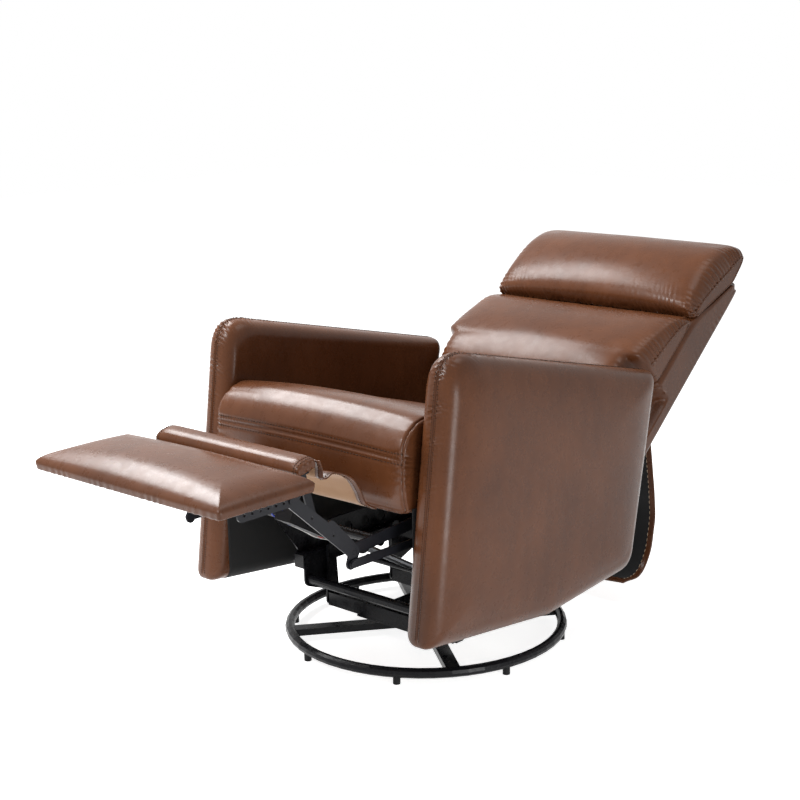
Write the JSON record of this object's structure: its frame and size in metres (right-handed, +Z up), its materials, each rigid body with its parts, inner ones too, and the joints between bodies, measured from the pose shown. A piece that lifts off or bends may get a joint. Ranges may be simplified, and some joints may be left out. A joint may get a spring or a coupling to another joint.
{
  "type": "swivel glider recliner",
  "caption": "Swivel glider recliner in brown leather with a powered footrest, drawn reclined with the footrest out, on a steel floor ring.",
  "frame": {"origin": "centre of the bounding box, on the floor", "axes": "+Z up, -Y the way the sitter faces, +X towards the sitter's left"},
  "size_m": [0.72, 1.6504, 0.799],
  "materials": {
    "leather": "smooth semi-gloss brown leather",
    "leather_inside": "tan suede side of the leather apron",
    "black_steel": "satin black paint",
    "bright_steel": "zinc plated steel",
    "black_plastic": "black moulded plastic",
    "board": "plain board under the upholstery"
  },
  "bodies": {
    "base": {"base_ring": "black_steel", "base_bars": "black_steel", "foot_1": "black_plastic", "foot_2": "black_plastic", "foot_3": "black_plastic", "foot_4": "black_plastic", "foot_5": "black_plastic", "foot_6": "black_plastic", "foot_7": "black_plastic", "foot_8": "black_plastic", "swivel_race_lower": "bright_steel"},
    "turntable": {"swivel_race_upper": "bright_steel", "glider_centre_plate": "black_steel", "glider_channel_front": "black_steel", "glider_channel_rear": "black_steel", "glider_post_front_left": "black_steel", "glider_post_front_right": "black_steel", "glider_post_rear_left": "black_steel", "glider_post_rear_right": "black_steel"},
    "rear_swing": {"swing_link_rear_left": "black_steel", "swing_link_rear_right": "black_steel"},
    "front_swing": {"swing_link_front_left": "black_steel", "swing_link_front_right": "black_steel"},
    "platform": {"platform_rail_left": "black_steel", "platform_rail_right": "black_steel", "platform_tube_front": "black_steel", "platform_tube_rear": "black_steel", "side_plate_left": "black_steel", "side_plate_right": "black_steel", "seat_cushion": "leather", "seat_deck": "board", "arm_left": "leather", "arm_right": "leather", "leg_apron": "leather_inside", "drive_bar": "black_steel"},
    "rear_links": {"rear_link_left": "black_steel", "rear_link_right": "black_steel", "drive_tube": "black_steel"},
    "front_links": {"front_link_left": "black_steel", "front_link_right": "black_steel"},
    "guide_links": {"guide_link_left": "black_steel", "guide_link_right": "black_steel"},
    "footrest": {"footrest_board": "board", "footrest_pad": "leather", "footrest_bracket_left": "black_steel", "footrest_bracket_right": "black_steel"},
    "flap": {"middle_flap": "leather", "flap_arm_left": "black_steel", "flap_arm_right": "black_steel"},
    "drive_housing": {"drive_body": "black_plastic", "drive_lead": "black_plastic"},
    "drive_piston": {"drive_rod": "bright_steel"},
    "back": {"back_shell": "leather", "back_cushion": "leather", "headrest_cushion": "leather", "back_plate_left": "black_steel", "back_plate_right": "black_steel", "rear_skirt": "leather"}
  },
  "joints": [
    {"name": "swivel", "type": "hinge", "parent": "base", "child": "turntable", "pos_m": [0, -0.01076, 0.036], "axis": [0, 0, 1], "continuous": true},
    {"name": "glide", "type": "hinge", "parent": "turntable", "child": "rear_swing", "pos_m": [0, 0.09424, 0.183], "axis": [1, 0, 0], "range_deg": [-20, 20]},
    {"name": "platform_level", "type": "hinge", "parent": "rear_swing", "child": "platform", "pos_m": [0, 0.09424, 0.093], "axis": [1, 0, 0], "range_deg": [-20, 20]},
    {"name": "front_swing", "type": "hinge", "parent": "turntable", "child": "front_swing", "pos_m": [0, -0.11576, 0.183], "axis": [1, 0, 0], "range_deg": [-20, 20]},
    {"name": "footrest_fold", "type": "hinge", "parent": "platform", "child": "rear_links", "pos_m": [0, -0.23176, 0.369], "axis": [1, 0, 0], "range_deg": [0, 66.9], "deforming": ["leg_apron"]},
    {"name": "front_link", "type": "hinge", "parent": "rear_links", "child": "front_links", "pos_m": [0, -0.47076, 0.353], "axis": [1, 0, 0], "range_deg": [-110.15, 0]},
    {"name": "footrest_tilt", "type": "hinge", "parent": "front_links", "child": "footrest", "pos_m": [0, -0.63376, 0.493], "axis": [1, 0, 0], "range_deg": [0, 133.25]},
    {"name": "flap_tilt", "type": "hinge", "parent": "front_links", "child": "flap", "pos_m": [0, -0.53076, 0.418], "axis": [1, 0, 0], "range_deg": [0, 26.94]},
    {"name": "guide_link", "type": "hinge", "parent": "platform", "child": "guide_links", "pos_m": [0, -0.27276, 0.332], "axis": [1, 0, 0], "range_deg": [0, 73.64]},
    {"name": "drive_swing", "type": "hinge", "parent": "rear_links", "child": "drive_housing", "pos_m": [0, -0.38176, 0.349], "axis": [1, 0, 0], "range_deg": [-54.57, 0]},
    {"name": "drive_stroke", "type": "slide", "parent": "drive_housing", "child": "drive_piston", "axis": [0, 0.8677, -0.4971], "range_m": [-0.152, 0]},
    {"name": "recline", "type": "hinge", "parent": "platform", "child": "back", "pos_m": [0, 0.31924, 0.36], "axis": [1, 0, 0], "range_deg": [0, 36]}
  ],
  "couplings": [
    {"joint": "platform_level", "follows": "glide", "ratio": -1},
    {"joint": "front_swing", "follows": "glide", "ratio": 1},
    {"joint": "front_link", "follows": "footrest_fold", "ratio": -1.6457},
    {"joint": "footrest_tilt", "follows": "footrest_fold", "ratio": 1.991},
    {"joint": "flap_tilt", "follows": "footrest_fold", "ratio": 0.402},
    {"joint": "guide_link", "follows": "footrest_fold", "ratio": 1.1},
    {"joint": "drive_swing", "follows": "footrest_fold", "ratio": -0.815},
    {"joint": "drive_stroke", "follows": "footrest_fold", "m_per_rad": -0.13}
  ]
}
